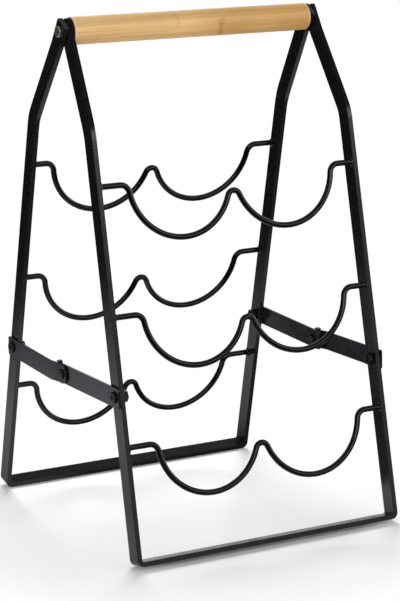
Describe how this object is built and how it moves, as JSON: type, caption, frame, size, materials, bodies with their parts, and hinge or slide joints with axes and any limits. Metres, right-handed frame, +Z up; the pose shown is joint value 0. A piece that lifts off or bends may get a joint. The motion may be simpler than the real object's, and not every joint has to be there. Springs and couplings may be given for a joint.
{
  "type": "folding wine rack",
  "caption": "Folding bottle rack: two hinged flat-bar frames with W-shaped wires for bottles lying down, a round wooden carrying handle on the hinge and a folding stay on each side.",
  "frame": {"origin": "on the floor under the middle of the handle, at the centre of the open rack's footprint", "axes": "+Z up; +X along the handle to the right as seen from the front; +Y from the front frame to the rear frame, the way the bottles lie"},
  "size_m": [0.2506, 0.256, 0.416],
  "materials": {
    "black_paint": "satin black powder coat on steel",
    "black_zinc": "blackened steel, slightly glossier than the paint",
    "bamboo": "turned bamboo or pale hardwood, clear satin varnish",
    "nickel": "bright warm-toned nickel plate"
  },
  "bodies": {
    "front_frame": {"front_frame": "black_paint", "front_bottom_wire": "black_paint", "front_middle_wire": "black_paint", "front_top_wire": "black_paint", "left_front_bolt": "black_zinc", "right_front_bolt": "black_zinc", "left_front_nut": "black_zinc", "right_front_nut": "black_zinc"},
    "rear_frame": {"rear_frame": "black_paint", "rear_bottom_wire": "black_paint", "rear_middle_wire": "black_paint", "rear_top_wire": "black_paint", "left_rear_nut": "black_zinc", "right_rear_nut": "black_zinc"},
    "handle": {"handle": "bamboo", "left_handle_screw": "nickel", "right_handle_screw": "nickel"},
    "left_front_link": {"left_front_link": "black_paint", "left_middle_rivet": "black_zinc"},
    "left_rear_link": {"left_rear_link": "black_paint", "left_rear_bolt": "black_zinc"},
    "right_front_link": {"right_front_link": "black_paint", "right_middle_rivet": "black_zinc"},
    "right_rear_link": {"right_rear_link": "black_paint", "right_rear_bolt": "black_zinc"}
  },
  "joints": [
    {"name": "frame_fold", "type": "hinge", "parent": "front_frame", "child": "rear_frame", "pos_m": [0, 0, 0.405], "axis": [-1, 0, 0], "range_deg": [0, 31]},
    {"name": "handle_turn", "type": "hinge", "parent": "front_frame", "child": "handle", "pos_m": [0, 0, 0.405], "axis": [1, 0, 0], "continuous": true},
    {"name": "left_front_pivot", "type": "hinge", "parent": "front_frame", "child": "left_front_link", "pos_m": [-0.118, -0.0919, 0.13128], "axis": [1, 0, 0], "range_deg": [0, 66.4]},
    {"name": "left_middle_pivot", "type": "hinge", "parent": "left_front_link", "child": "left_rear_link", "pos_m": [-0.119, 0, 0.12888], "axis": [1, 0, 0], "range_deg": [-163.7, 0]},
    {"name": "right_front_pivot", "type": "hinge", "parent": "front_frame", "child": "right_front_link", "pos_m": [0.122, -0.0919, 0.13128], "axis": [1, 0, 0], "range_deg": [0, 66.4]},
    {"name": "right_middle_pivot", "type": "hinge", "parent": "right_front_link", "child": "right_rear_link", "pos_m": [0.119, 0, 0.12888], "axis": [1, 0, 0], "range_deg": [-163.7, 0]}
  ],
  "couplings": [
    {"joint": "left_front_pivot", "follows": "frame_fold", "ratio": 2.1402},
    {"joint": "left_middle_pivot", "follows": "frame_fold", "ratio": -5.2803},
    {"joint": "right_front_pivot", "follows": "frame_fold", "ratio": 2.1402},
    {"joint": "right_middle_pivot", "follows": "frame_fold", "ratio": -5.2803}
  ]
}
